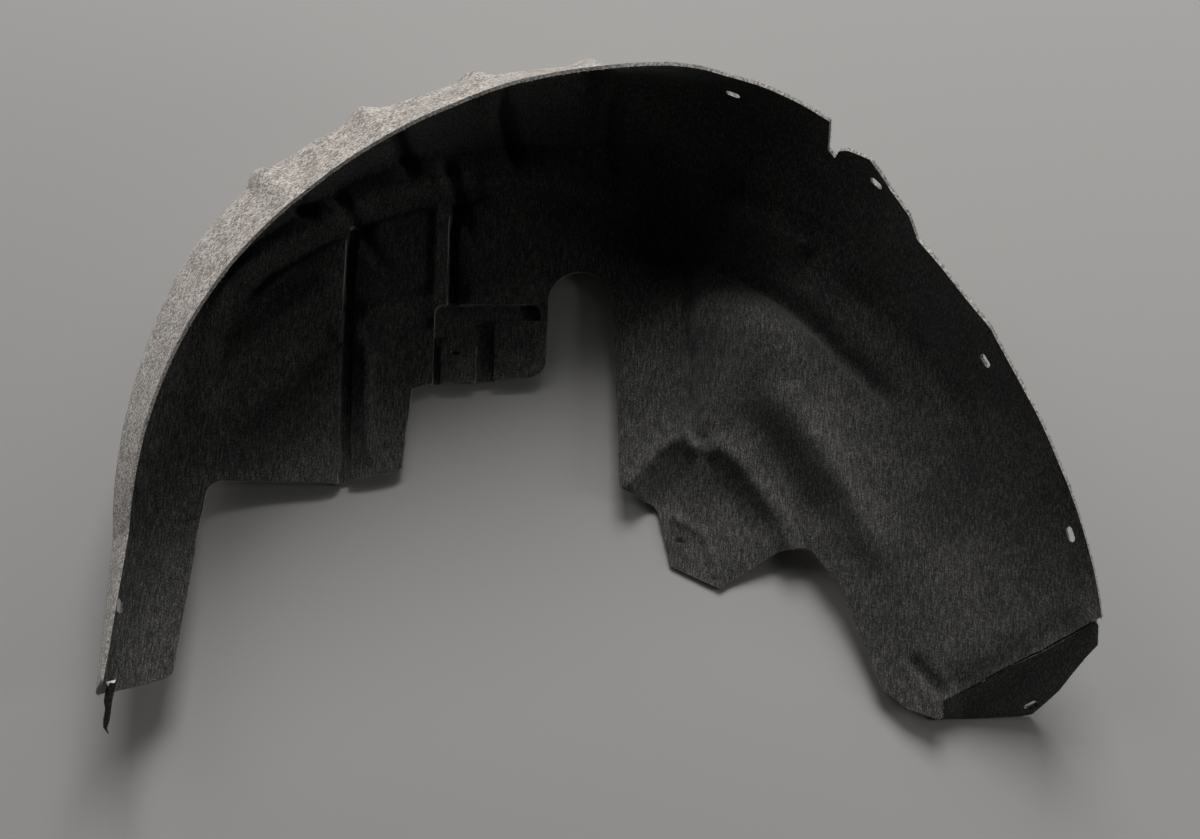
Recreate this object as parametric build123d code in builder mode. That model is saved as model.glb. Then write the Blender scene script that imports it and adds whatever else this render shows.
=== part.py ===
from build123d import *
import math
import os

os.makedirs("parts", exist_ok=True)

# Driving sizes, in millimetres and degrees
FELT = 3.0
ARCH_CENTRE = Vector(-15, -130)
TAIL_ANGLE = -30.0
LEG_ANGLE = 180.0
STATION_STEP = 7.0
LEG_RUN = 155.0

SLOT_LENGTH = 13.0
SLOT_WIDTH = 6.5
SLOT_REACH = 12.0

STRUT_SLOT_X = -18.0
STRUT_SLOT_WIDTH = 60.0
STRUT_SLOT_TOP = 137.0

WALL_HEIGHT = 14.0
GROOVE_DEPTH = 11.0
GROOVE_WIDTH = 15.0
GROOVE_FLOOR = 6.0

BEAD_DEPTH = 9.0
BEAD_ANGLES = (128.7, 114.2, 100.2, 85.8)
BEAD_TOP_TURN = 0.9
BEAD_FOOT_TURN = 2.2
BEAD_STEP = 1.6
RISER_GAP_ANGLES = (124.3, 109.3)

POCKET_CENTRE = (-104.0, 54.0)
POCKET_WIDTH = 98.0
POCKET_LENGTH = 104.0
POCKET_CORNER = 9.0
POCKET_DEPTH = 7.0
POCKET_PAD_FOOT = -40.0

# Longer than the part, for cuts that go right through it
REACH = 400.0

# Sections of the moulded shell at stations round the arch, tail first, each as the radius and height of
# hem, lobe foot, crease, bulge, riser one foot and top, riser two foot and top, crown and rim
STATIONS = {
    -44: (
        (85, 2), (150, 3), (220, 5), (270, 7), (316, 11),
        (351, 17), (384, 26), (418, 38), (452, 55), (479, 70),
    ),
    -26: (
        (80, 2.5), (144, 3.5), (216, 7), (264, 11), (310, 16),
        (345, 23), (378, 33), (410, 46), (443, 64), (468, 80),
    ),
    -16: (
        (76, 3), (137, 4), (209, 12), (257, 20), (301, 30),
        (335, 41), (366, 55), (397, 70), (429, 90), (452, 104),
    ),
    -8: (
        (72, 3), (130, 4), (203, 18), (250, 30), (292, 41),
        (325, 51), (355, 63), (385, 78), (415, 99), (437, 115),
    ),
    9: (
        (60, 4), (117, 6), (182, 25), (230, 45), (275, 58),
        (307, 70), (335, 84), (360, 102), (382, 132), (396, 158),
    ),
    24: (
        (50, 5), (108, 6), (160, 29), (220, 60), (272, 68),
        (300, 81), (325, 96), (345, 112), (364, 143), (376, 180),
    ),
    38: (
        (50, 6), (100, 8), (137, 25), (228, 76), (283, 71),
        (304, 84), (328, 100), (348, 117), (368, 158), (375, 207),
    ),
    50: (
        (50, 18), (100, 26), (148, 30), (235, 80), (285, 66),
        (303, 82), (327, 100), (347, 114), (380, 168), (391, 233),
    ),
    62: (
        (60, 24), (120, 27), (202, 33), (245, 58), (288, 44),
        (305, 60), (327, 92), (345, 104), (388, 170), (396, 242),
    ),
    74: (
        (90, 22), (140, 24), (200, 27), (245, 29), (298, 6.5),
        (315, 24), (342, 60), (356, 80), (397, 165), (386, 241),
    ),
    85: (
        (120, 16), (170, 17), (215, 18.5), (258, 19), (316, 6.5),
        (330, 22), (360, 44), (372, 66), (404, 158), (369, 242),
    ),
    99: (
        (170, 14), (210, 15), (250, 16.5), (295, 17), (344, 19.5),
        (351, 40), (391, 44), (396, 68), (409, 151), (358, 238),
    ),
    112: (
        (170, 13), (215, 14), (262, 15.5), (315, 16), (366, 19.5),
        (372.5, 39.5), (404, 42), (408, 66), (412, 146), (351, 231),
    ),
    128: (
        (170, 12), (220, 13), (270, 14.5), (325, 15), (384, 19),
        (390.5, 38.5), (409, 41), (413, 64), (419, 140), (351, 216),
    ),
    144: (
        (170, 11), (220, 12), (270, 13.5), (330, 15), (398, 23),
        (405, 41), (413, 47), (417, 67), (421, 128), (359, 196),
    ),
    160: (
        (170, 11), (220, 13), (265, 16), (305, 20), (345, 28),
        (366, 38), (383, 50), (397, 68), (413, 104), (370, 164),
    ),
    180: (
        (250, 14), (285, 18), (310, 23), (330, 29), (347, 36),
        (362, 43), (376, 51), (389, 61), (403, 82), (381, 122),
    ),
}
# The leg runs straight on past the last station, to this section
LEG_END = (
    (300, 25), (315, 28), (328, 31.5), (341, 35.5), (354, 40),
    (366, 45), (378, 51.5), (391, 61), (409, 82), (399, 114),
)
# Points of the section that a bead crosses, with its turn from the foot of riser two
BEAD_TURNS = {6: 0.0, 7: 0.4, 8: 3.5}
# Points of the section where a groove runs on up through riser one
RISER_GAP_POINTS = (4, 5)

# Hem seen from above, as corner and rounding radius: from the leg's end to the strut slot
HEM_OUTER_END = (-480, -283)
HEM_LEFT = (
    ((-371, -241), 10), ((-350, -64), 16), ((-238, -62), 12), ((-180, -50), 6),
    ((-172, 26), 5), ((-154, 31), 5), ((-50, 37), 16),
)
# and from the strut slot to the tail
HEM_RIGHT = (
    ((18, -70), 9), ((52, -84), 12), ((63, -137), 5), ((107, -158), 2), ((158, -127), 12),
    ((186, -124), 16), ((212, -158), 20), ((247, -247), 16), ((268, -266), 10), ((297, -277), 3),
)

# Fold of the tail and the outline of the flap that hangs from it, along and below the fold
TAIL_FOLD = (Vector(298, -260, 25), Vector(414, -203, 109))
TAIL_LOW = Vector(385, -272, 0)
FLAP = (
    (-21, -17.5), (0, 1), (33, -1.4), (66, -2.2), (99, -3.9), (132, -3.2), (148, -2.6), (154, 0.5),
    (153, -8), (139, -30), (121, -38), (104, -47), (83, -59), (61, -67), (46, -71.5), (38, -67),
)

# Rim of the right shoulder with its two tabs and the notch, as place along its wall and height
SHOULDER_ANGLE = 55.0
SHOULDER_RIM = (
    (190, 244), (114, 217), (20, 212), (13, 176), (4, 172), (3, 183), (-4, 191), (-25, 202),
    (-53, 190), (-77, 187), (-94, 173), (-190, 182),
)

# Straight grooves of the wall: place across, and the two ends
GROOVES = ((-232, -80, 187), (-136, 106, 214))
# Raised pads of the clip pocket: place across, width and top end
POCKET_PADS = ((-130, 32, 74), (-70, 54, 90))
# Slots square to the skin: station, section point below, share of the way to the next, drop along the leg
SKIN_SLOTS = (
    (70.8, 8, 0.18, 0), (49.2, 8, 0.22, 0), (22.5, 8, 0.3, 0), (-0.4, 8, 0.5, 0), (180, 7, 0.5, 54),
)
# Slots straight down: place, turn, length and width
PLAN_SLOTS = (((72, -114), -12, 10, 5), ((-133, 60), -12, 9, 4))
FLAP_SLOT = (53, -59)


def station_plane(angle, drop=0.0):
    """Upright plane through the arch centre: local X is the radius and local Y is the height."""
    across = Vector(math.cos(math.radians(angle)), math.sin(math.radians(angle)), 0)
    along = Vector(across.Y, -across.X, 0)
    return Plane(origin=ARCH_CENTRE + Vector(0, -drop, 0), x_dir=across, z_dir=along)


def vectors(rows):
    """Section points as vectors."""
    return [Vector(*row) for row in rows]


def section_at(angle):
    """Section of the wheel side at any angle, on a smooth curve through the stations."""
    angles = sorted(STATIONS)
    low = max(place for place, station in enumerate(angles[:-1]) if station <= angle)
    near = [angles[min(max(low + step, 0), len(angles) - 1)] for step in (-1, 0, 1, 2)]
    span = near[2] - near[1]
    t = (angle - near[1]) / span
    points = []
    for before, start, end, after in zip(*(vectors(STATIONS[station]) for station in near)):
        leave = (end - before) * (span / (near[2] - near[0]))
        arrive = (after - start) * (span / (near[3] - near[1]))
        points.append(
            start * (1 - 3 * t**2 + 2 * t**3)
            + leave * (t - 2 * t**2 + t**3)
            + end * (3 * t**2 - 2 * t**3)
            + arrive * (t**3 - t**2)
        )
    return points


def run_of(start, end):
    """Unit vector from one point to another."""
    return (end - start).normalized()


def outside(points, distance):
    """The same run of points moved to the body side by a distance."""
    moved = []
    last = len(points) - 1
    for index, point in enumerate(points):
        before = run_of(points[max(index - 1, 0)], points[max(index, 1)])
        after = run_of(points[min(index, last - 1)], points[min(index + 1, last)])
        normal = (Vector(before.Y, -before.X) + Vector(after.Y, -after.X)).normalized()
        moved.append(point + normal * (distance / normal.dot(Vector(after.Y, -after.X))))
    return moved


def bead_share(turn):
    """Share of a bead's depth at a turn from its middle."""
    return min(max((BEAD_FOOT_TURN - abs(turn)) / (BEAD_FOOT_TURN - BEAD_TOP_TURN), 0.0), 1.0)


def beaded(angle):
    """Section at an angle, with the beads and riser gaps that cross it pressed to the body side."""
    points = section_at(angle)
    pressed = outside(points, BEAD_DEPTH)
    for index, point in enumerate(points):
        middles = [bead + BEAD_TURNS[index] for bead in BEAD_ANGLES if index in BEAD_TURNS]
        middles += [gap for gap in RISER_GAP_ANGLES if index in RISER_GAP_POINTS]
        share = max((bead_share(angle - middle) for middle in middles), default=0.0)
        points[index] = point + (pressed[index] - point) * share
    return points


def felt_sheet(plane, points):
    """Cut face of the felt on one station plane."""
    with BuildSketch(plane) as sheet:
        with BuildLine():
            Polyline(*points, *outside(points, FELT)[::-1], close=True)
        make_face()
    return sheet.sketch


def arch_sheets():
    """Cut faces of the felt round the arch, closer together where beads cross it."""
    first = min(BEAD_ANGLES) - BEAD_FOOT_TURN
    last = max(BEAD_ANGLES) + max(BEAD_TURNS.values()) + BEAD_FOOT_TURN
    angles = []
    for start, end, step in (
        (TAIL_ANGLE, first, STATION_STEP), (first, last, BEAD_STEP), (last, LEG_ANGLE, STATION_STEP),
    ):
        turns = math.ceil((end - start) / step)
        angles += [start + (end - start) * turn / turns for turn in range(turns)]
    return [felt_sheet(station_plane(angle), beaded(angle)) for angle in (*angles, LEG_ANGLE)]


def skin_plane(angle, index, share, drop):
    """Plane on the skin between two section points, its X along the arch and its Z square to the felt."""
    points = section_at(angle)
    run = run_of(points[index], points[index + 1])
    place = points[index] + (points[index + 1] - points[index]) * share
    plane = station_plane(angle, drop)
    normal = plane.x_dir * run.Y - Vector(0, 0, run.X)
    return Plane(origin=plane.from_local_coords((place.X, place.Y, 0)), x_dir=plane.z_dir, z_dir=normal)


shoulder = station_plane(SHOULDER_ANGLE)
fold_start, fold_end = TAIL_FOLD
fold_run = run_of(fold_start, fold_end)
past_fold = fold_end + (fold_end - fold_start) * 0.4
flap_normal = (TAIL_LOW - fold_start).cross(fold_run).normalized()
flap_plane = Plane(origin=fold_start, x_dir=fold_run, z_dir=flap_normal)

with BuildPart() as liner:
    # Moulded shell
    sheets = arch_sheets()
    sheets.append(felt_sheet(station_plane(LEG_ANGLE, LEG_RUN), vectors(LEG_END)))
    loft(sheets, ruled=True)

    # Straight grooves between the wall panels
    for place, low_end, high_end in GROOVES:
        for grow, top, mode in ((FELT, WALL_HEIGHT - 1, Mode.ADD), (0.0, WALL_HEIGHT + 8, Mode.SUBTRACT)):
            floor = WALL_HEIGHT - GROOVE_DEPTH - grow
            side, foot = GROOVE_WIDTH / 2 + grow, GROOVE_FLOOR / 2 + grow
            with BuildSketch(Plane.XZ.offset(-high_end - grow)):
                with BuildLine():
                    Polyline(
                        (place - side, top), (place - foot, floor), (place + foot, floor), (place + side, top),
                        close=True,
                    )
                make_face()
            extrude(amount=high_end - low_end + grow, mode=mode)

    # Clip pocket beside the strut slot: a channel round two raised pads
    for grow, top, mode in ((FELT, WALL_HEIGHT - 1.5, Mode.ADD), (0.0, WALL_HEIGHT + 8, Mode.SUBTRACT)):
        floor = WALL_HEIGHT - POCKET_DEPTH - grow
        with BuildSketch(Plane.XY.offset(floor)):
            with Locations(POCKET_CENTRE):
                RectangleRounded(POCKET_WIDTH + 2 * grow, POCKET_LENGTH + 2 * grow, POCKET_CORNER)
            for place, width, pad_top in POCKET_PADS:
                length = pad_top - POCKET_PAD_FOOT
                with Locations((place, POCKET_PAD_FOOT + length / 2)):
                    RectangleRounded(width - 2 * grow, length - 2 * grow, POCKET_CORNER, mode=Mode.SUBTRACT)
        extrude(amount=top - floor, mode=mode)

    # Hem, cut straight through as seen from above
    slot_left = (STRUT_SLOT_X - STRUT_SLOT_WIDTH / 2, STRUT_SLOT_TOP - STRUT_SLOT_WIDTH / 2)
    slot_right = (STRUT_SLOT_X + STRUT_SLOT_WIDTH / 2, STRUT_SLOT_TOP - STRUT_SLOT_WIDTH / 2)
    fold_foot = (fold_start.X, fold_start.Y)
    with BuildSketch(Plane.XY.offset(-REACH)):
        with BuildLine():
            left_corners = [corner for corner, _ in HEM_LEFT]
            FilletPolyline(HEM_OUTER_END, *left_corners, slot_left, radius=[r for _, r in HEM_LEFT])
            ThreePointArc(slot_left, (STRUT_SLOT_X, STRUT_SLOT_TOP), slot_right)
            right_corners = [corner for corner, _ in HEM_RIGHT]
            FilletPolyline(slot_right, *right_corners, fold_foot, radius=[r for _, r in HEM_RIGHT])
            Polyline(
                fold_foot, (past_fold.X, past_fold.Y), (REACH * 1.5, -REACH * 2), (-REACH * 1.2, -REACH * 2),
                HEM_OUTER_END,
            )
        make_face()
    extrude(amount=REACH * 2, mode=Mode.SUBTRACT)

    # Rim of the right shoulder, cut square to its wall
    with BuildSketch(Plane(origin=ARCH_CENTRE, x_dir=-shoulder.z_dir, z_dir=shoulder.x_dir)):
        with BuildLine():
            Polyline(*SHOULDER_RIM, (-200, REACH), (200, REACH), close=True)
        make_face()
    extrude(amount=REACH * 2, mode=Mode.SUBTRACT)

    # Tail flap, turned down along the fold
    with BuildSketch(flap_plane):
        with BuildLine():
            Polyline(*FLAP, close=True)
        make_face()
    extrude(amount=-FELT)

    # Fixing slots
    for angle, index, share, drop in SKIN_SLOTS:
        with BuildSketch(skin_plane(angle, index, share, drop)):
            SlotOverall(SLOT_LENGTH, SLOT_WIDTH)
        extrude(amount=SLOT_REACH, both=True, mode=Mode.SUBTRACT)
    for place, turn, length, width in PLAN_SLOTS:
        with BuildSketch(Plane.XY.offset(-SLOT_REACH)):
            with Locations(Location(place, turn)):
                SlotOverall(length, width)
        extrude(amount=4 * SLOT_REACH, mode=Mode.SUBTRACT)
    with BuildSketch(flap_plane):
        with Locations(FLAP_SLOT):
            SlotOverall(SLOT_LENGTH, SLOT_WIDTH)
    extrude(amount=SLOT_REACH, both=True, mode=Mode.SUBTRACT)

# The part stands on its lowest points, with the origin under the middle of its box
box = liner.part.bounding_box()
shift = Vector(-box.center().X, -box.center().Y, -box.min.Z)
print("shift", shift, "size", box.size, "volume", liner.part.volume, "valid", liner.part.is_valid)
liner.part = liner.part.moved(Location(shift))
liner.part.label = "liner"
export_step(liner.part, "parts/liner.step")
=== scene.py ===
"""Looks of a moulded felt wheel arch liner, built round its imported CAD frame."""

import logging
import math
import random
from collections.abc import Mapping, Sequence
from dataclasses import dataclass, field
from enum import Enum, IntEnum
from typing import Any

import bmesh
import bpy
import numpy as np
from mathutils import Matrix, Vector, noise
from mathutils.bvhtree import BVHTree


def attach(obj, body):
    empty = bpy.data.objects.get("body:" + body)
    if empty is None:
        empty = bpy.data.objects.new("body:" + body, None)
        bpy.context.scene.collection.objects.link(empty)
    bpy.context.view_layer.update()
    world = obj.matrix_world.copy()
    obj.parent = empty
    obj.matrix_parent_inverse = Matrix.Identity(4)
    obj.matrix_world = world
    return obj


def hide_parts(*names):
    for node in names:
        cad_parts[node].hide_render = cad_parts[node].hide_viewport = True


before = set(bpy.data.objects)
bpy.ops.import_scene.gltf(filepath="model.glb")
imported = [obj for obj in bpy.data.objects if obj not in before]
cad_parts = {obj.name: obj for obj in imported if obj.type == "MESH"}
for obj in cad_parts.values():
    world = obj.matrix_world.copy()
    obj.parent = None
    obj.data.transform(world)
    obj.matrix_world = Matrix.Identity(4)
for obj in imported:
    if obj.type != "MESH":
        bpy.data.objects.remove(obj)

log = logging.getLogger("liner")

MM = 0.001
SEED = 7
# Move from the mould's coordinates to the frame's, in millimetres
SHIFT = np.array((2.087, -6.635, 0.0))


def to_frame(points: np.ndarray) -> np.ndarray:
    """Mould coordinates in millimetres as frame coordinates in metres."""
    return (points + SHIFT) * MM


def to_mould(points: np.ndarray) -> np.ndarray:
    """Frame coordinates in metres as mould coordinates in millimetres."""
    return points / MM - SHIFT


def stand(name: str, data: bpy.types.ID) -> bpy.types.Object:
    """Puts a mesh, a lamp or a camera into the scene.

    Args:
        name: The object's name.
        data: What the object shows.

    Returns:
        The object.
    """
    made = bpy.data.objects.new(name, data)
    bpy.context.scene.collection.objects.link(made)
    return made


class Side(Enum):
    """The three kinds of surface on a sheet of felt."""

    WHEEL = 0
    BODY = 1
    CUT = 2

    @property
    def piece(self) -> str:
        """Name of the piece that shows this surface."""
        return ("wheel_side_fleece", "body_side_felt", "cut_edge")[self.value]


class Bend(IntEnum):
    """Corners of a section, counted from the hem to the rim."""

    DOME = 3
    RISER_FOOT = 4
    RISER_TOP = 5
    WALL_FOOT = 6
    WALL_TOP = 7
    CROWN = 8


class Wire:
    """A value socket that takes part in shader maths."""

    def __init__(self, tree: bpy.types.NodeTree, socket: bpy.types.NodeSocket) -> None:
        """Holds a socket of a node tree.

        Args:
            tree: The tree that new Math nodes go into.
            socket: The output that this wire stands for.
        """
        self.tree = tree
        self.socket = socket

    def _math(self, operation: str, first: Any, second: Any) -> "Wire":
        """Adds one Math node.

        Args:
            operation: The Math node's operation.
            first: Wire or number for the first socket.
            second: Wire or number for the second socket.

        Returns:
            The node's result.
        """
        made = self.tree.nodes.new("ShaderNodeMath")
        made.operation = operation
        for socket, value in zip(made.inputs, (first, second)):
            if isinstance(value, Wire):
                self.tree.links.new(value.socket, socket)
            else:
                socket.default_value = value
        return Wire(self.tree, made.outputs[0])

    def __add__(self, other: Any) -> "Wire":
        """Sum."""
        return self._math("ADD", self, other)

    __radd__ = __add__

    def __sub__(self, other: Any) -> "Wire":
        """Difference."""
        return self._math("SUBTRACT", self, other)

    def __rsub__(self, other: Any) -> "Wire":
        """Difference from a number."""
        return self._math("SUBTRACT", other, self)

    def __mul__(self, other: Any) -> "Wire":
        """Product."""
        return self._math("MULTIPLY", self, other)

    __rmul__ = __mul__


class ShaderSheet:
    """The node tree of one finish."""

    def __init__(self, name: str) -> None:
        """Starts an empty material.

        Args:
            name: The material's name.
        """
        self.material = bpy.data.materials.new(name)
        self.material.use_nodes = True
        self.tree = self.material.node_tree
        self.tree.nodes.clear()

    def node(
        self,
        kind: str,
        settings: Mapping[str, Any] | None = None,
        inputs: Mapping[str | int, Any] | None = None,
        out: str | int = 0,
    ) -> Wire:
        """Adds any node.

        Args:
            kind: The node's type.
            settings: Properties that are set first. stops gives a ramp's places and colours.
            inputs: Wires or values of its sockets, by name or place.
            out: The output that is handed back.

        Returns:
            That output as a wire.
        """
        made = self.tree.nodes.new(kind)
        for key, value in (settings or {}).items():
            if key == "stops":
                self._stops(made.color_ramp, value)
            else:
                setattr(made, key, value)
        for key, value in (inputs or {}).items():
            if isinstance(value, Wire):
                self.tree.links.new(value.socket, made.inputs[key])
            else:
                made.inputs[key].default_value = value
        return Wire(self.tree, made.outputs[out]) if made.outputs else Wire(self.tree, None)

    @staticmethod
    def _stops(ramp: bpy.types.ColorRamp, stops: Sequence[tuple[float, tuple[float, ...]]]) -> None:
        """Sets a ramp's stops.

        Args:
            ramp: The ramp to set.
            stops: Places and colours, lowest first.
        """
        while len(ramp.elements) < len(stops):
            ramp.elements.new(0.5)
        for element, (place, colour) in zip(ramp.elements, stops):
            element.position = place
            element.color = (*colour, 1.0)

    def grain(
        self, scale: tuple[float, float, float], turn: float, detail: float, rough: float = 0.55
    ) -> Wire:
        """Noise stretched along the fibres.

        Args:
            scale: Noise cells per metre along each axis.
            turn: Turn of the fibres about the upright axis, in radians.
            detail: Detail of the noise.
            rough: Roughness of the noise.

        Returns:
            The noise, about 0.5 on average.
        """
        place = self.node("ShaderNodeTexCoord", out="Object")
        turned = self.node(
            "ShaderNodeMapping", {"vector_type": "POINT"}, {"Vector": place, "Rotation": (0.0, 0.0, turn)}
        )
        stretched = self.node("ShaderNodeVectorMath", {"operation": "MULTIPLY"}, {0: turned, 1: scale})
        return self.node(
            "ShaderNodeTexNoise",
            None,
            {"Vector": stretched, "Scale": 1.0, "Detail": detail, "Roughness": rough},
        )

    def ramp(self, value: Wire, stops: Sequence[tuple[float, tuple[float, ...]]]) -> Wire:
        """Colour ramp over a value."""
        return self.node("ShaderNodeValToRGB", {"stops": stops}, {"Fac": value})

    def mix(self, share: Wire | float, first: Any, second: Any) -> Wire:
        """Mix of two colours."""
        return self.node(
            "ShaderNodeMix", {"data_type": "RGBA"}, {0: share, 6: first, 7: second}, out=2
        )

    def cloth(
        self,
        colour: Wire,
        height: Wire,
        nap: tuple[float, float],
        specular: float,
        sheen: tuple[float, float],
    ) -> bpy.types.Material:
        """Ends the tree in a matt cloth.

        Args:
            colour: Colour over the surface.
            height: Height over the surface.
            nap: Strength of the nap, and its height in metres.
            specular: Level of the reflection.
            sheen: Weight and roughness of the sheen.

        Returns:
            The material.
        """
        bump = self.node(
            "ShaderNodeBump", None, {"Strength": nap[0], "Distance": nap[1], "Height": height}
        )
        shader = self.node(
            "ShaderNodeBsdfPrincipled",
            None,
            {
                "Base Color": colour,
                "Roughness": 0.95,
                "Specular IOR Level": specular,
                "Sheen Weight": sheen[0],
                "Sheen Roughness": sheen[1],
                "Normal": bump,
            },
        )
        return self.finish(shader)

    def finish(self, shader: Wire) -> bpy.types.Material:
        """Links a shader to the output and hands back the material."""
        self.node("ShaderNodeOutputMaterial", None, {"Surface": shader})
        return self.material


@dataclass(frozen=True)
class FleeceFinish:
    """Black brushed fleece of the wheel side."""

    name: str = "black_fleece"
    root: tuple[float, float, float] = (0.007, 0.007, 0.0072)
    pile: tuple[float, float, float] = (0.029, 0.0284, 0.0272)
    tips: tuple[float, float, float] = (0.115, 0.111, 0.103)
    nap: tuple[float, float] = (0.5, 0.0011)
    specular: float = 0.12
    sheen: tuple[float, float] = (0.12, 0.55)

    def build(self) -> bpy.types.Material:
        """Makes the material.

        Returns:
            Dark pile with long brushed streaks, short crossing fibres and pale tips.
        """
        sheet = ShaderSheet(self.name)
        brushed = sheet.grain((920.0, 100.0, 260.0), 0.06, 3.0, 0.6)
        crossed = sheet.grain((950.0, 380.0, 560.0), -0.7, 3.0, 0.6)
        specks = sheet.grain((1180.0, 1080.0, 1080.0), 0.0, 2.0, 0.7)
        worn = sheet.grain((18.0, 14.0, 18.0), 0.4, 3.0)
        tone = brushed * 0.42 + crossed * 0.3 + specks * 0.5 + worn * 0.12 - 0.17
        colour = sheet.ramp(tone, ((0.38, self.root), (0.5, self.pile), (0.64, self.tips)))
        return sheet.cloth(colour, tone, self.nap, self.specular, self.sheen)


@dataclass(frozen=True)
class FeltFinish:
    """Mottled recycled felt of the body side."""

    name: str = "grey_felt"
    wool: tuple[float, float, float] = (0.25, 0.222, 0.197)
    dark: tuple[float, float, float] = (0.085, 0.076, 0.07)
    pale: tuple[float, float, float] = (0.45, 0.42, 0.383)
    rose: tuple[float, float, float] = (0.27, 0.175, 0.155)
    nap: tuple[float, float] = (0.55, 0.0014)
    specular: float = 0.15
    sheen: tuple[float, float] = (0.15, 0.6)

    def build(self) -> bpy.types.Material:
        """Makes the material.

        Returns:
            Pale grey wool with dark and rose tufts and fine crossing fibres.
        """
        sheet = ShaderSheet(self.name)
        clumps = sheet.grain((62.0, 70.0, 66.0), 0.3, 5.0, 0.7)
        tufts = sheet.grain((120.0, 110.0, 115.0), 1.1, 3.0, 0.6)
        hairs = sheet.grain((640.0, 250.0, 450.0), 0.7, 3.0, 0.65)
        crossed = sheet.grain((250.0, 640.0, 450.0), 0.35, 3.0, 0.65)
        tone = clumps * 0.42 + hairs * 0.8 + crossed * 0.8 - 0.52
        wool = sheet.ramp(tone, ((0.35, self.dark), (0.49, self.wool), (0.62, self.pale)))
        rosy = sheet.ramp(tufts, ((0.58, (0.0, 0.0, 0.0)), (0.7, (0.6, 0.6, 0.6))))
        colour = sheet.mix(rosy, wool, (*self.rose, 1.0))
        return sheet.cloth(colour, tone, self.nap, self.specular, self.sheen)


@dataclass(frozen=True)
class CutFinish:
    """Pale fibres that show on the cut edge of the felt."""

    name: str = "cut_fibres"
    dark: tuple[float, float, float] = (0.11, 0.104, 0.098)
    pale: tuple[float, float, float] = (0.38, 0.36, 0.335)
    nap: tuple[float, float] = (0.6, 0.0012)
    specular: float = 0.12
    sheen: tuple[float, float] = (0.0, 0.5)

    def build(self) -> bpy.types.Material:
        """Makes the material.

        Returns:
            Pale and dark fibres laid across the cut.
        """
        sheet = ShaderSheet(self.name)
        fibres = sheet.grain((420.0, 400.0, 900.0), 0.2, 4.0, 0.65)
        colour = sheet.ramp(fibres, ((0.36, self.dark), (0.62, self.pale)))
        return sheet.cloth(colour, fibres, self.nap, self.specular, self.sheen)


@dataclass(frozen=True)
class TableFinish:
    """Plain matt table top."""

    name: str = "table_top"
    colour: tuple[float, float, float] = (0.268, 0.263, 0.255)

    def build(self) -> bpy.types.Material:
        """Makes the material.

        Returns:
            One soft grey.
        """
        sheet = ShaderSheet(self.name)
        shader = sheet.node(
            "ShaderNodeBsdfPrincipled",
            None,
            {"Base Color": (*self.colour, 1.0), "Roughness": 0.7, "Specular IOR Level": 0.2},
        )
        return sheet.finish(shader)


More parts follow.
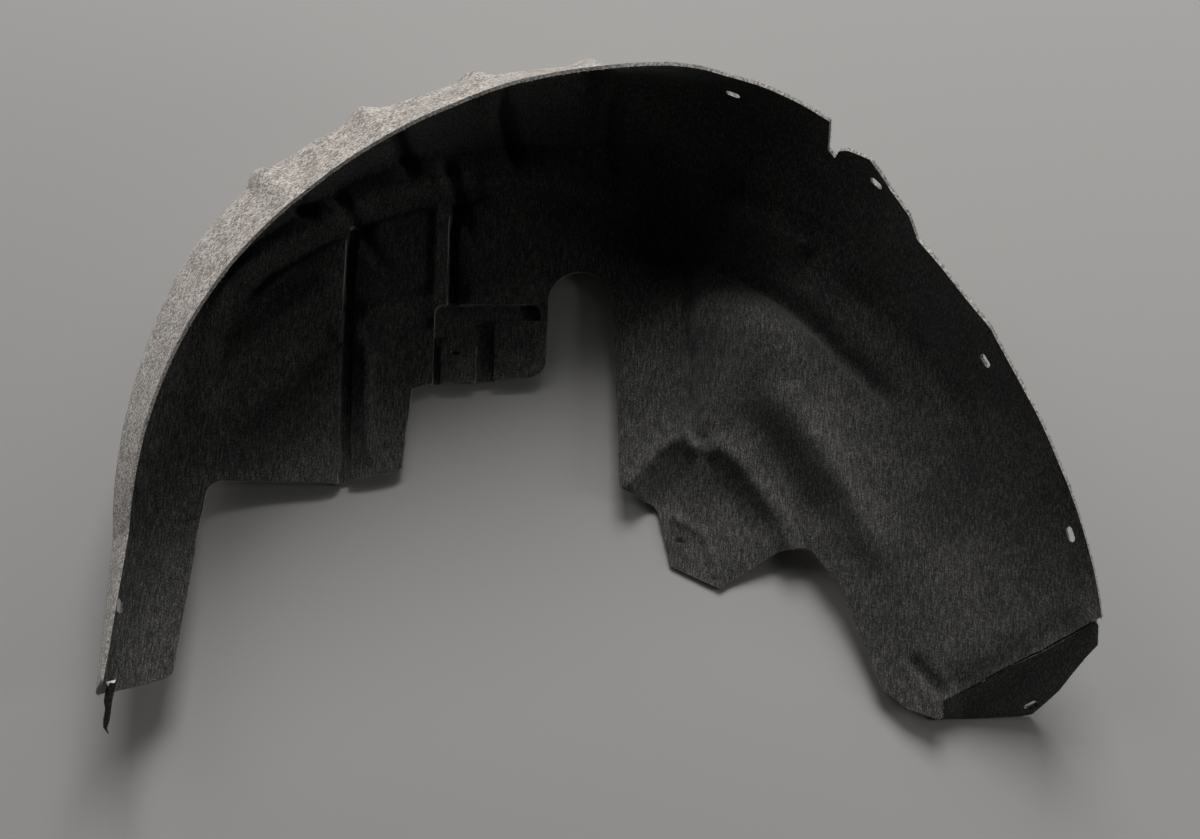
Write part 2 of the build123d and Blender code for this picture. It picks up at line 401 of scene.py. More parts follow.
@dataclass
class MouldSections:
    """Wheel-side sections of the pressed shell at stations round the arch, as radius and height.

    Lengths are in millimetres and angles in degrees.
    """

    centre: tuple[float, float] = (-15.0, -130.0)
    tail_angle: float = -30.0
    leg_angle: float = 180.0
    step: float = 7.0
    leg_run: float = 155.0
    beads: tuple[float, ...] = (128.7, 114.2, 100.2, 85.8)
    bead_turns: tuple[tuple[Bend, float, float], ...] = (
        (Bend.WALL_FOOT, 0.0, 1.15),
        (Bend.WALL_TOP, 0.4, 1.25),
        (Bend.CROWN, 3.5, 1.8),
    )
    gaps: tuple[float, ...] = (124.3, 109.3)
    gap_points: tuple[tuple[Bend, float, float], ...] = (
        (Bend.RISER_FOOT, 0.0, 1.1),
        (Bend.RISER_TOP, 0.0, 1.1),
    )
    bead_step: float = 1.6
    bead_depth: float = 9.0
    bead_top: float = 0.9
    bead_foot: float = 2.2
    rounding: tuple[float, ...] = (1.0, 14.0, 22.0, 26.0, 3.5, 4.0, 5.0, 6.0, 24.0, 1.0)
    ledge_sag: float = 18.0
    riser_lean: float = 3.2
    ledge_span: tuple[float, float] = (92.0, 150.0)
    ledge_ease: tuple[float, float] = (8.0, 8.0)
    wall_reach: float = 9.0
    wall_span: tuple[float, float] = (102.0, 158.0)
    wall_ease: tuple[float, float] = (18.0, 12.0)
    dome_rounding: float = 26.0
    dome_end: float = 80.0
    corner_share: float = 0.46
    hold: float = 14.0
    stations: dict[int, tuple[float, ...]] = field(
        default_factory=lambda: {
            -44: (85, 2, 150, 3, 220, 5, 270, 7, 316, 11, 351, 17, 384, 26, 418, 38, 452, 55, 479, 70),
            -26: (80, 2.5, 144, 3.5, 216, 7, 264, 11, 310, 16, 345, 23, 378, 33, 410, 46, 443, 64, 468, 80),
            -16: (76, 3, 137, 4, 209, 12, 257, 20, 301, 30, 335, 41, 366, 55, 397, 70, 429, 90, 452, 104),
            -8: (72, 3, 130, 4, 203, 18, 250, 30, 292, 41, 325, 51, 355, 63, 385, 78, 415, 99, 437, 115),
            9: (60, 4, 117, 6, 182, 25, 230, 45, 275, 58, 307, 70, 335, 84, 360, 102, 382, 132, 396, 158),
            24: (50, 5, 108, 6, 160, 29, 220, 60, 272, 68, 300, 81, 325, 96, 345, 112, 364, 143, 376, 180),
            38: (50, 6, 100, 8, 137, 25, 228, 76, 283, 71, 304, 84, 328, 100, 348, 117, 368, 158, 375, 207),
            50: (50, 18, 100, 26, 148, 30, 235, 80, 285, 66, 303, 82, 327, 100, 347, 114, 380, 168, 391, 233),
            62: (60, 24, 120, 27, 202, 33, 245, 58, 288, 44, 305, 60, 327, 92, 345, 104, 388, 170, 396, 242),
            74: (90, 22, 140, 24, 200, 27, 245, 29, 298, 6.5, 315, 24, 342, 60, 356, 80, 397, 165, 386, 241),
            85: (
                120, 16, 170, 17, 215, 18.5, 258, 19, 316, 6.5,
                330, 22, 360, 44, 372, 66, 404, 158, 369, 242,
            ),
            99: (
                170, 14, 210, 15, 250, 16.5, 295, 17, 344, 19.5,
                351, 40, 391, 44, 396, 68, 409, 151, 358, 238,
            ),
            112: (
                170, 13, 215, 14, 262, 15.5, 315, 16, 366, 19.5,
                372.5, 39.5, 404, 42, 408, 66, 412, 146, 351, 231,
            ),
            128: (
                170, 12, 220, 13, 270, 14.5, 325, 15, 384, 19,
                390.5, 38.5, 409, 41, 413, 64, 419, 140, 351, 216,
            ),
            144: (
                170, 11, 220, 12, 270, 13.5, 330, 15, 398, 23,
                405, 41, 413, 47, 417, 67, 421, 128, 359, 196,
            ),
            160: (170, 11, 220, 13, 265, 16, 305, 20, 345, 28, 366, 38, 383, 50, 397, 68, 413, 104, 370, 164),
            180: (250, 14, 285, 18, 310, 23, 330, 29, 347, 36, 362, 43, 376, 51, 389, 61, 403, 82, 381, 122),
        }
    )
    leg_end: tuple[float, ...] = (
        300, 25, 315, 28, 328, 31.5, 341, 35.5, 354, 40, 366, 45, 378, 51.5, 391, 61, 409, 82, 399, 114,
    )  # fmt: skip

    def smooth(self, angle: np.ndarray) -> np.ndarray:
        """Sections on a smooth curve through the stations.

        Args:
            angle: Angles round the arch, in degrees.

        Returns:
            One run of section points for each angle.
        """
        keys = np.array(sorted(self.stations), float)
        table = np.array([self.stations[int(key)] for key in keys], float).reshape(len(keys), -1, 2)
        low = np.clip(np.searchsorted(keys, angle, "right") - 1, 0, len(keys) - 2)
        near = np.clip(low[:, None] + np.arange(-1, 3), 0, len(keys) - 1)
        key, rows = keys[near], table[near]
        span = key[:, 2] - key[:, 1]
        t = ((angle - key[:, 1]) / span)[:, None, None]
        leave = (rows[:, 2] - rows[:, 0]) * (span / (key[:, 2] - key[:, 0]))[:, None, None]
        arrive = (rows[:, 3] - rows[:, 1]) * (span / (key[:, 3] - key[:, 1]))[:, None, None]
        return (
            rows[:, 1] * (1 - 3 * t**2 + 2 * t**3)
            + leave * (t - 2 * t**2 + t**3)
            + rows[:, 2] * (3 * t**2 - 2 * t**3)
            + arrive * (t**3 - t**2)
        )

    @staticmethod
    def outward(points: np.ndarray) -> np.ndarray:
        """Mitred normals of section runs, towards the body side.

        Args:
            points: Runs of section points.

        Returns:
            One vector for each point, as long as a unit offset needs.
        """
        run = np.diff(points, axis=1)
        run /= np.linalg.norm(run, axis=2, keepdims=True)
        side = np.stack((run[..., 1], -run[..., 0]), axis=2)
        before = np.concatenate((side[:, :1], side), axis=1)
        after = np.concatenate((side, side[:, -1:]), axis=1)
        normal = before + after
        normal /= np.linalg.norm(normal, axis=2, keepdims=True)
        return normal / np.sum(normal * after, axis=2, keepdims=True)

    @staticmethod
    def _within(angle: np.ndarray, span: tuple[float, float], ease: tuple[float, float]) -> np.ndarray:
        """Share that rises to one inside a span of angles.

        Args:
            angle: Angles round the arch, in degrees.
            span: Where the share starts and ends.
            ease: The degrees it takes to rise and to fall.

        Returns:
            One share for each angle.
        """
        rise = np.clip((angle - span[0]) / ease[0], 0, 1)
        return rise * np.clip((span[1] - angle) / ease[1], 0, 1)

    def pressed(self, angle: np.ndarray, soft: bool) -> np.ndarray:
        """Smooth sections with the beads that cross them, and the soft felt's sag and lean.

        Args:
            angle: Angles round the arch, in degrees.
            soft: True for the felt's soft form, False for the solid's straight-sided beads.

        Returns:
            One run of section points for each angle.
        """
        points = self.smooth(angle)
        share = np.zeros(points.shape[:2])
        for angles, crossed in ((self.beads, self.bead_turns), (self.gaps, self.gap_points)):
            for middle in angles:
                for index, turn, width in crossed:
                    off = np.abs(angle - middle - turn)
                    flat = np.clip((self.bead_foot - off) / (self.bead_foot - self.bead_top), 0, 1)
                    here = np.exp(-((off / width) ** 2)) if soft else flat
                    share[:, index] = np.maximum(share[:, index], here)
        if soft:
            sag = self._within(angle, self.ledge_span, self.ledge_ease)
            wide = self._within(angle, self.wall_span, self.wall_ease)
            points[:, Bend.RISER_FOOT, 0] -= self.riser_lean * sag
            points[:, Bend.RISER_TOP, 0] += self.riser_lean * sag
            points[:, [Bend.WALL_FOOT, Bend.WALL_TOP], 0] += (self.wall_reach * wide)[:, None]
            points[:, Bend.WALL_FOOT, 1] -= self.ledge_sag * sag
        return points + self.outward(points) * (self.bead_depth * share)[..., None]

    def lofted(self, angle: np.ndarray) -> np.ndarray:
        """Sections of the straight-ruled shell that the solid has.

        Args:
            angle: Angles round the arch, in degrees.

        Returns:
            One run of section points for each angle.
        """
        first = min(self.beads) - self.bead_foot
        last = max(self.beads) + max(turn for _, turn, _ in self.bead_turns) + self.bead_foot
        spans = (
            (self.tail_angle, first, self.step),
            (first, last, self.bead_step),
            (last, self.leg_angle, self.step),
        )
        runs = [np.linspace(a, b, math.ceil((b - a) / step) + 1)[:-1] for a, b, step in spans]
        keys = np.array((*np.concatenate(runs), self.leg_angle))
        table = self.pressed(keys, soft=False)
        low = np.clip(np.searchsorted(keys, angle, "right") - 1, 0, len(keys) - 2)
        first, last = table[low], table[low + 1]
        since = np.radians(angle - keys[low])[:, None]
        until = np.radians(keys[low + 1] - angle)[:, None]
        near = first[..., 0] * np.sin(since)
        share = near / (near + last[..., 0] * np.sin(until))
        radius = first[..., 0] * np.cos(since) * (1 - share) + last[..., 0] * np.cos(until) * share
        height = first[..., 1] * (1 - share) + last[..., 1] * share
        return np.stack((radius, height), axis=2)

    def softened(
        self, angle: np.ndarray, points: np.ndarray, segment: np.ndarray, share: np.ndarray
    ) -> np.ndarray:
        """Points on section runs with rounded corners.

        Args:
            angle: Angle of each run, in degrees.
            points: Runs of section points.
            segment: Which piece of its run each point is on.
            share: How far along that piece it is.

        Returns:
            One point on each run.
        """
        row = np.arange(len(points))
        length = np.linalg.norm(np.diff(points, axis=1), axis=2)
        wanted = np.repeat(np.array(self.rounding)[None], len(points), axis=0)
        wanted[angle < self.dome_end, Bend.DOME] = self.dome_rounding
        before = np.concatenate((length[:, :1], length), axis=1)
        after = np.concatenate((length, length[:, -1:]), axis=1)
        reach = np.minimum(wanted, self.corner_share * np.minimum(before, after))
        start, end = points[row, segment], points[row, segment + 1]
        place = start + (end - start) * share[:, None]
        for corner, distance, sign in (
            (segment, share * length[row, segment], 1.0),
            (segment + 1, (1 - share) * length[row, segment], -1.0),
        ):
            inside = (corner > 0) & (corner < points.shape[1] - 1) & (distance < reach[row, corner])
            at = corner[inside]
            pick = row[inside]
            here = points[pick, at]
            back = here - points[pick, at - 1]
            ahead = points[pick, at + 1] - here
            back /= np.linalg.norm(back, axis=1, keepdims=True)
            ahead /= np.linalg.norm(ahead, axis=1, keepdims=True)
            wide = reach[pick, at][:, None]
            t = (0.5 + 0.5 * sign * distance[inside] / reach[pick, at])[:, None]
            place[inside] = (
                (here - back * wide) * (1 - t) ** 2 + here * 2 * t * (1 - t) + (here + ahead * wide) * t**2
            )
        return place

    def trace(self, points: np.ndarray) -> "SectionTrace":
        """Finds where points of the solid lie on its sections.

        Args:
            points: Places on the solid, in mould coordinates.

        Returns:
            The nearest place on the solid's section, and the smooth section there.
        """
        off = points[:, :2] - np.array(self.centre)
        on_leg = (off[:, 1] < 0) & (off[:, 0] < 0)
        angle = np.degrees(np.arctan2(off[:, 1], off[:, 0]))
        angle = np.clip(np.where(on_leg, self.leg_angle, angle), self.tail_angle, self.leg_angle)
        radius = np.where(on_leg, -off[:, 0], np.hypot(off[:, 0], off[:, 1]))
        drop = np.where(on_leg, -off[:, 1] / self.leg_run, 0.0)[:, None, None]
        leg = np.array(self.leg_end, float).reshape(1, -1, 2)
        ruled = self.lofted(angle) * (1 - drop) + leg * drop
        curved = self.pressed(angle, soft=True) * (1 - drop) + leg * drop
        flat = np.stack((radius, points[:, 2]), axis=1)[:, None, :]
        start, run = ruled[:, :-1], np.diff(ruled, axis=1)
        share = np.clip(np.sum((flat - start) * run, axis=2) / np.sum(run * run, axis=2), 0, 1)
        gap = np.linalg.norm(flat - start - run * share[..., None], axis=2)
        segment = np.argmin(gap, axis=1)
        row = np.arange(len(points))
        share, gap = share[row, segment], gap[row, segment]
        place = start[row, segment] + run[row, segment] * share[:, None]
        return SectionTrace(np.radians(angle), curved, segment, share, gap, place, run[row, segment])

    def ease(self, points: np.ndarray) -> np.ndarray:
        """How far points of the solid move to lie on the smooth pressed shell.

        Args:
            points: Places on the solid, in mould coordinates.

        Returns:
            One move for each place.
        """
        found = self.trace(points)
        move = self.softened(np.degrees(found.turn), found.curved, found.segment, found.share) - found.place
        return found.upright(move * np.exp(-((found.gap / self.hold) ** 2))[:, None])

    def bodyward(self, points: np.ndarray) -> np.ndarray:
        """Directions through the felt towards the body side.

        Args:
            points: Places on the solid, in mould coordinates.

        Returns:
            One unit vector for each place.
        """
        found = self.trace(points)
        side = np.stack((found.run[:, 1], -found.run[:, 0]), axis=1)
        return found.upright(side / np.linalg.norm(side, axis=1, keepdims=True))


@dataclass
class SectionTrace:
    """Places on sections of the shell, one for each traced point."""

    turn: np.ndarray
    curved: np.ndarray
    segment: np.ndarray
    share: np.ndarray
    gap: np.ndarray
    place: np.ndarray
    run: np.ndarray

    def upright(self, flat: np.ndarray) -> np.ndarray:
        """Section vectors, radius and height, as vectors in space."""
        return np.stack((flat[:, 0] * np.cos(self.turn), flat[:, 0] * np.sin(self.turn), flat[:, 1]), axis=1)


@dataclass(frozen=True)
class PressLine:
    """A soft ridge or valley pressed into the sheet along a line seen from above, in millimetres."""

    path: tuple[tuple[float, float], ...]
    rise: float
    width: float
    floor: float = -10.0
    fade: float = 18.0
    ceiling: float = 200.0
    floor_ease: float = 6.0
    ceiling_ease: float = 25.0

    def lift(self, points: np.ndarray) -> np.ndarray:
        """Lift of the sheet at points.

        Args:
            points: Places in mould coordinates.

        Returns:
            One height for each place.
        """
        line = np.array(self.path, float)
        lengths = np.linalg.norm(np.diff(line, axis=0), axis=1)
        nearest = np.full(len(points), np.inf)
        along = np.zeros(len(points))
        for start, end, before, length in zip(line[:-1], line[1:], np.cumsum(lengths) - lengths, lengths):
            run = end - start
            share = np.clip((points[:, :2] - start) @ run / (run @ run), 0, 1)
            gap = np.linalg.norm(points[:, :2] - start - share[:, None] * run, axis=1)
            along = np.where(gap < nearest, before + share * length, along)
            nearest = np.minimum(nearest, gap)
        taper = np.clip(np.minimum(along, lengths.sum() - along) / self.fade, 0, 1)
        above = np.clip((points[:, 2] - self.floor) / self.floor_ease, 0, 1)
        level = above * np.clip((self.ceiling - points[:, 2]) / self.ceiling_ease, 0, 1)
        return self.rise * np.exp(-((nearest / self.width) ** 2)) * level * taper**2 * (3 - 2 * taper)


@dataclass(frozen=True)
class PanelPress(PressLine):
    """A press in the flat wall, clear of the groove's floor and of the crown above."""

    floor: float = 3.5
    ceiling: float = 75.0


@dataclass
class FeltSheet:
    """The pressed felt sheet, refined from the frame's solid and parted into its surfaces.

    Lengths are in millimetres, and the waves are in turns per millimetre.
    """

    node: str = "liner"
    edge: float = 4.9
    weld: float = 0.001
    splits: int = 8
    lump: float = 0.45
    long_wave: float = 0.022
    short_wave: float = 0.06
    short_share: float = 0.5
    lowest: float = -0.4
    probe: float = 0.02
    thickest: float = 5.2
    back_facing: float = -0.6
    across: float = 0.2
    along: float = 0.8
    groove_half: float = 7.6
    groove_top: float = 15.0
    pocket: tuple[float, float, float, float] = (-153.0, -55.0, 2.0, 106.0)
    pads: tuple[tuple[float, float, float], ...] = ((-146.0, -114.0, 74.0), (-97.0, -43.0, 90.0))
    grooves: tuple[tuple[float, float], ...] = ((-232.0, 187.5), (-136.0, 214.5))
    sections: MouldSections = field(default_factory=MouldSections)
    presses: tuple[PressLine, ...] = (
        PressLine(((20, -74), (52, -36), (78, -23), (90, -42)), 7.0, 7.0, fade=10.0),
        PressLine(((96, -46), (106, -34), (124, -51), (160, -99), (173, -136)), 7.0, 8.0, fade=10.0),
        PressLine(((32, -78), (66, -52), (92, -64)), -4.5, 15.0, fade=26.0),
        PressLine(((92, -54), (119, -78), (152, -128)), -4.5, 15.0, fade=34.0),
        PressLine(((83, 144), (79, 64), (85, -16), (93, -46)), -9.5, 5.0, fade=30.0),
        PressLine(((98, 156), (145, 110), (191, 65), (230, 25), (272, -18)), -10.0, 9.0, fade=45.0),
        PressLine(((92, 102), (150, 62), (208, 16)), 9.0, 28.0, fade=62.0),
        PressLine(((140, 104), (181, 64), (222, 22), (254, -10)), 2.4, 4.5),
        PressLine(((110, 188), (147, 157), (190, 121)), 11.0, 8.5),
        PressLine(((205, 113), (245, 76), (280, 41), (345, -50)), -12.0, 15.0, fade=50.0),
        PressLine(((240, 130), (290, 75), (325, 20)), 4.0, 14.0),
        PressLine(((142, 24), (187, -35), (220, -87), (256, -160)), 9.0, 15.0, fade=50.0),
        PressLine(((118, 6), (162, -52), (204, -120)), -6.0, 14.0, fade=40.0),
        PressLine(((60, -92), (68, -94), (90, -106), (100, -127), (104, -150)), 3.4, 4.5, fade=6.0),
        PressLine(((268, -219), (302, -261)), -5.5, 5.5, fade=14.0),
        PressLine(((302, -262), (356, -232), (412, -200)), -8.0, 17.0),
        PressLine(((195, 105), (262, -30), (283, -97), (330, -200)), -10.0, 34.0, fade=120.0),
        PanelPress(((-240, 138), (-320, 65), (-372, -6)), 8.0, 16.0),
        PanelPress(((-238, 84), (-292, 28), (-346, -24)), -8.0, 15.0),
        PanelPress(((-214, 74), (-211, -50)), 6.0, 7.0),
        PanelPress(((-152, 210), (-152, 100)), 5.0, 6.0),
        PanelPress(((-224, 100), (-146, 113)), 6.0, 7.0, fade=10.0),
        PanelPress(((-222, 80), (-152, 92)), -5.0, 9.0, fade=10.0),
        PanelPress(((-128, 117), (-56, 117)), 6.0, 6.5, fade=10.0),
        PanelPress(((-232, 190), (-232, -110)), -4.0, 12.0, fade=6.0),
        PanelPress(((-136, 216), (-136, 104)), -4.0, 12.0, fade=6.0),
        PanelPress(((-101, 216), (-154, 213), (-205, 199), (-254, 176), (-300, 145), (-340, 106)), -8.0, 8.0),
        PanelPress(((-130, 24), (-130, 64)), 3.5, 11.0),
        PanelPress(((-82, 30), (-82, 72), (-58, 74), (-58, 30)), 3.0, 14.0),
    )

    def build(self) -> dict[Side, bpy.types.Object]:
        """Makes one piece for each kind of surface.

        Returns:
            The pieces by their side.
        """
        solid = bmesh.new()
        solid.from_mesh(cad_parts[self.node].data)
        bmesh.ops.remove_doubles(solid, verts=solid.verts, dist=self.weld * MM)
        self._mark(solid)
        self._refine(solid)
        self._press(solid)
        pieces = {side: self._part(solid, side) for side in Side}
        solid.free()
        return pieces

    def _mark(self, solid: bmesh.types.BMesh) -> None:
        """Marks each face with its kind of surface.

        Args:
            solid: The mesh of the solid.
        """
        solid.normal_update()
        solid.faces.ensure_lookup_table()
        tree = BVHTree.FromBMesh(solid)
        places = to_mould(np.array([face.calc_center_median() for face in solid.faces]))
        normals = np.array([face.normal for face in solid.faces])
        facing = np.sum(self.sections.bodyward(places) * normals, axis=1)
        in_front = places + normals
        for face, side, front in zip(solid.faces, facing, in_front):
            start = face.calc_center_median() - face.normal * self.probe * MM
            place, normal, _, depth = tree.ray_cast(start, -face.normal)
            thin = (
                place is not None
                and depth < self.thickest * MM
                and normal.dot(face.normal) < self.back_facing
            )
            if abs(side) < self.across and thin and self._in_channel(front):
                face.material_index = Side.WHEEL.value
            elif abs(side) > self.along or thin:
                face.material_index = Side.WHEEL.value if side < 0 else Side.BODY.value
            else:
                face.material_index = Side.CUT.value

    def _in_channel(self, place: np.ndarray) -> bool:
        """Whether a place is in a groove or in the channel round the clip pocket's pads.

        Args:
            place: A place in mould coordinates.

        Returns:
            True inside the channel.
        """
        for x, end in self.grooves:
            if abs(place[0] - x) < self.groove_half and place[1] < end and place[2] < self.groove_top:
                return True
        low_x, high_x, low_y, high_y = self.pocket
        inside = low_x < place[0] < high_x and low_y < place[1] < high_y
        return inside and not any(a < place[0] < b and place[1] < top for a, b, top in self.pads)

    def _refine(self, solid: bmesh.types.BMesh) -> None:
        """Splits long edges until all are short.

        Args:
            solid: The mesh of the solid.
        """
        limit = self.edge * MM
        for _ in range(self.splits):
            long = [edge for edge in solid.edges if edge.calc_length() > limit]
            if not long:
                break
            bmesh.ops.subdivide_edges(solid, edges=long, cuts=1)
            wide = [face for face in solid.faces if len(face.verts) > 3]
            bmesh.ops.triangulate(solid, faces=wide)

    def _press(self, solid: bmesh.types.BMesh) -> None:
        """Moves the refined mesh onto the smooth shell with its soft presses.

        Args:
            solid: The mesh of the solid.
        """
        points = to_mould(np.array([vert.co for vert in solid.verts]))
        moved = points + self.sections.ease(points)
        for press in self.presses:
            moved[:, 2] += press.lift(points)
        moved += np.array([self._wave(Vector(point)) for point in points]) * self.lump
        moved[:, 2] = np.maximum(moved[:, 2], self.lowest)
        for vert, place in zip(solid.verts, to_frame(moved)):
            vert.co = place

    def _wave(self, place: Vector) -> Vector:
        """Slow and quick unevenness of the felt at a place in mould coordinates."""
        quick = noise.noise_vector(place * self.short_wave) * self.short_share
        return noise.noise_vector(place * self.long_wave) + quick

    @staticmethod
    def _part(solid: bmesh.types.BMesh, side: Side) -> bpy.types.Object:
        """Copies one kind of surface into a piece.

        Args:
            solid: The marked mesh.
            side: The kind of surface.

        Returns:
            The piece, smooth shaded.
        """
        mesh = bpy.data.meshes.new(side.piece)
        copy = solid.copy()
        others = [face for face in copy.faces if face.material_index != side.value]
        bmesh.ops.delete(copy, geom=others, context="FACES")
        for face in copy.faces:
            face.material_index = 0
            face.smooth = True
        copy.to_mesh(mesh)
        copy.free()
        return stand(side.piece, mesh)

    def dress(self, pieces: Mapping[Side, bpy.types.Object]) -> None:
        """Gives each surface its finish and its place in the frame.

        Args:
            pieces: The pieces by their side.
        """
        finishes = {Side.WHEEL: FleeceFinish(), Side.BODY: FeltFinish(), Side.CUT: CutFinish()}
        for side, piece in pieces.items():
            piece.data.materials.clear()
            piece.data.materials.append(finishes[side].build())
            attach(piece, "root")
            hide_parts(self.node)
            log.info("%s: %d faces", piece.name, len(piece.data.polygons))


@dataclass
class EdgeFuzz:
    """Loose fibres along the cut edges, and the frayed strand and torn fleck at the leg's corner."""

    hairs: int = 5200
    length: tuple[float, float] = (0.9, 3.2)
    width: float = 0.3
    stray: float = 0.9
    curl: float = 0.6
    knee: float = 0.55
    taper: float = 0.7
    margin: float = 0.05
    strand_sides: int = 9
    strand_rough: tuple[float, float] = (0.7, 1.25)
    strand_squash: tuple[float, float] = (0.6, 0.5)
    strand: tuple[tuple[float, float, float, float], ...] = (
        (-409, -249, 86, 3.2), (-414, -257, 78, 4.0), (-418, -265, 68, 3.4), (-419, -272, 58, 2.8),
        (-423, -279, 48, 2.6), (-426, -285, 39, 1.8), (-425, -289, 31, 0.6),
    )  # fmt: skip
    fleck: tuple[tuple[float, float, float], ...] = (
        (-416, -252, 87), (-407, -250, 88), (-408, -253, 89), (-412, -253, 90), (-413, -256, 88),
    )  # fmt: skip

    def build(self, cut: bpy.types.Object) -> list[bpy.types.Object]:
        """Makes the fibres and the frayed corner.

        Args:
            cut: The piece that the fibres stand on.

        Returns:
            The fibres, the strand and the torn fleck.
        """
        fibres = self._fibres(cut.data)
        strand = self._strand()
        return [fibres, strand, self._piece("torn_fleck", self.fleck, [(0, 1, 2, 3), (0, 3, 4)])]

    def _fibres(self, mesh: bpy.types.Mesh) -> bpy.types.Object:
        """Stands thin tapering fibres on the faces of the cut.

        Args:
            mesh: The mesh of the cut.

        Returns:
            The fibres as one piece.
        """
        places: list[tuple[float, float, float]] = []
        faces: list[tuple[int, ...]] = []
        areas = [face.area for face in mesh.polygons]
        for face in random.choices(list(mesh.polygons), areas, k=self.hairs):
            corners = [mesh.vertices[i].co for i in face.vertices]
            shares = [random.random() + self.margin for _ in corners]
            foot = sum((c * t for c, t in zip(corners, shares)), Vector()) / sum(shares)
            stray = self._any_way()
            lean = (face.normal + stray * self.stray).normalized()
            bend = (lean + self._any_way() * self.curl).normalized()
            side = lean.cross(stray).normalized() * self.width * 0.5 * MM
            long = random.uniform(*self.length) * MM
            knee = foot + lean * long * self.knee
            tip = knee + bend * long * (1 - self.knee)
            start = len(places)
            places += [foot - side, foot + side, knee + side * self.taper, knee - side * self.taper, tip]
            faces += [(start, start + 1, start + 2, start + 3), (start + 3, start + 2, start + 4)]
        return self._piece("edge_fuzz", [tuple(p) for p in to_mould(np.array(places))], faces)

    @staticmethod
    def _any_way() -> Vector:
        """Vector that leans any way."""
        return Vector([random.uniform(-1, 1) for _ in range(3)])

    def _strand(self) -> bpy.types.Object:
        """Makes the frayed strand that hangs from the leg's corner.

        Returns:
            A rough tapering strand.
        """
        around = self.strand_sides
        flat, tilt = self.strand_squash
        places: list[tuple[float, float, float]] = []
        for x, y, z, radius in self.strand:
            for turn in range(around):
                angle = 2 * math.pi * turn / around
                rough = radius * random.uniform(*self.strand_rough)
                across, along = rough * math.cos(angle), rough * math.sin(angle)
                places.append((x + across, y + flat * along, z + tilt * along))
        faces: list[tuple[int, ...]] = []
        for ring in range(len(self.strand) - 1):
            for turn in range(around):
                here, ahead = ring * around + turn, ring * around + (turn + 1) % around
                faces.append((here, ahead, ahead + around, here + around))
        faces += [tuple(reversed(range(around))), tuple(range(len(places) - around, len(places)))]
        return self._piece("frayed_strand", places, faces)

    @staticmethod
    def _piece(
        name: str, places: Sequence[tuple[float, ...]], faces: Sequence[tuple[int, ...]]
    ) -> bpy.types.Object:
        """Makes a piece from mould coordinates.

        Args:
            name: The piece's name.
            places: Its corners.
            faces: Its faces.

        Returns:
            The piece, smooth shaded.
        """
        mesh = bpy.data.meshes.new(name)
        mesh.from_pydata(to_frame(np.array(places, float)).tolist(), [], faces)
        for face in mesh.polygons:
            face.use_smooth = True
        return stand(name, mesh)

    def dress(self, pieces: Sequence[bpy.types.Object]) -> None:
        """Gives each piece its finish and its place in the frame.

        Args:
            pieces: The fibres, the strand and the fleck.
        """
        finishes = (
            CutFinish("loose_fibres", (0.06, 0.056, 0.052), (0.3, 0.285, 0.265)),
            CutFinish("frayed_felt", (0.035, 0.032, 0.03), (0.16, 0.15, 0.138)),
            CutFinish("torn_backing", (0.6, 0.59, 0.57), (0.75, 0.74, 0.72)),
        )
        for piece, finish in zip(pieces, finishes):
            piece.data.materials.append(finish.build())
            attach(piece, "root")
            log.info("%s: %d faces", piece.name, len(piece.data.polygons))


@dataclass(frozen=True)
class Lamp:
    """A square lamp that faces the part, its power in watts and its place and size in metres."""

    name: str
    power: float
    place: tuple[float, float, float]
    size: float = 2.2

    def hang(self) -> None:
        """Hangs the lamp."""
        light = bpy.data.lights.new(self.name, "AREA")
        light.size = self.size
        light.energy = self.power
        holder = stand(self.name, light)
        holder.location = self.place
        holder.rotation_mode = "QUATERNION"
        holder.rotation_quaternion = (-holder.location).to_track_quat("-Z", "Y")


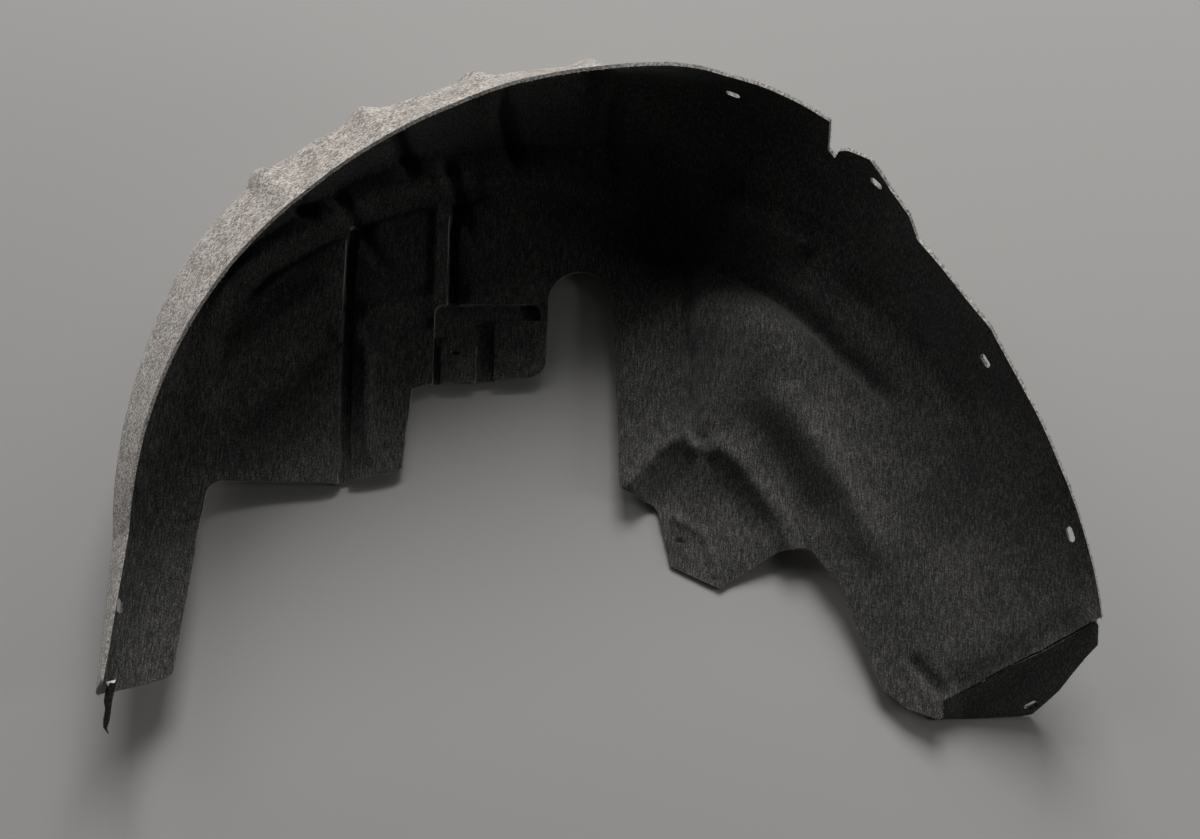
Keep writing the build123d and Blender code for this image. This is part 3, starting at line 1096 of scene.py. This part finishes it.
@dataclass
class Studio:
    """Table, soft light and the camera of the photograph."""

    distance: float = 1.8
    elevation: float = 75.0
    focal_px: float = 1962.0
    image_px: int = 1200
    sensor: float = 36.0
    table_half: float = 8.0
    table_top: float = -0.0006
    sky: float = 0.03
    lamps: tuple[Lamp, ...] = (
        Lamp("softbox", 330.0, (0.3, 3.7, 3.1)),
        Lamp("left_box", 40.0, (-2.5, 2.5, 3.3)),
        Lamp("right_box", 18.0, (2.5, 2.5, 3.3)),
        Lamp("side_box", 10.5, (2.2, -0.3, 1.15), 0.7),
    )

    def build(self) -> None:
        """Sets the table, the light and the camera."""
        self._table()
        self._light()
        self._camera()

    def _table(self) -> None:
        """Lays a wide table top under the part."""
        half = self.table_half
        corners = [(-half, -half, 0), (half, -half, 0), (half, half, 0), (-half, half, 0)]
        mesh = bpy.data.meshes.new("table")
        mesh.from_pydata(corners, [], [(0, 1, 2, 3)])
        mesh.materials.append(TableFinish().build())
        table = stand("table", mesh)
        table.location.z = self.table_top

    def _light(self) -> None:
        """Hangs a broad lamp behind the arch and weak ones at its sides, in a dim even sky."""
        world = bpy.data.worlds.new("studio")
        world.use_nodes = True
        sky = world.node_tree.nodes["Background"]
        sky.inputs["Color"].default_value = (1.0, 1.0, 1.0, 1.0)
        sky.inputs["Strength"].default_value = self.sky
        bpy.context.scene.world = world
        for lamp in self.lamps:
            lamp.hang()

    def _camera(self) -> None:
        """Stands the camera where the photograph was taken from."""
        lens = bpy.data.cameras.new("camera")
        lens.sensor_width = self.sensor
        lens.lens = self.focal_px / self.image_px * self.sensor
        turn = math.radians(self.elevation)
        back = Vector((0.0, -math.cos(turn), math.sin(turn)))
        camera = stand("camera", lens)
        camera.location = Vector(SHIFT * MM) + back * self.distance
        camera.rotation_mode = "QUATERNION"
        camera.rotation_quaternion = (-back).to_track_quat("-Z", "Y")
        bpy.context.scene.camera = camera
        bpy.context.scene.view_settings.view_transform = "Standard"


def main() -> None:
    """Builds the liner and its studio."""
    logging.basicConfig(level=logging.INFO, format="%(name)s: %(message)s")
    random.seed(SEED)
    noise.seed_set(SEED)
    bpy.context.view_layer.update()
    sheet = FeltSheet()
    surfaces = sheet.build()
    sheet.dress(surfaces)
    fuzz = EdgeFuzz()
    fuzz.dress(fuzz.build(surfaces[Side.CUT]))
    Studio().build()


if __name__ == "__main__":
    main()
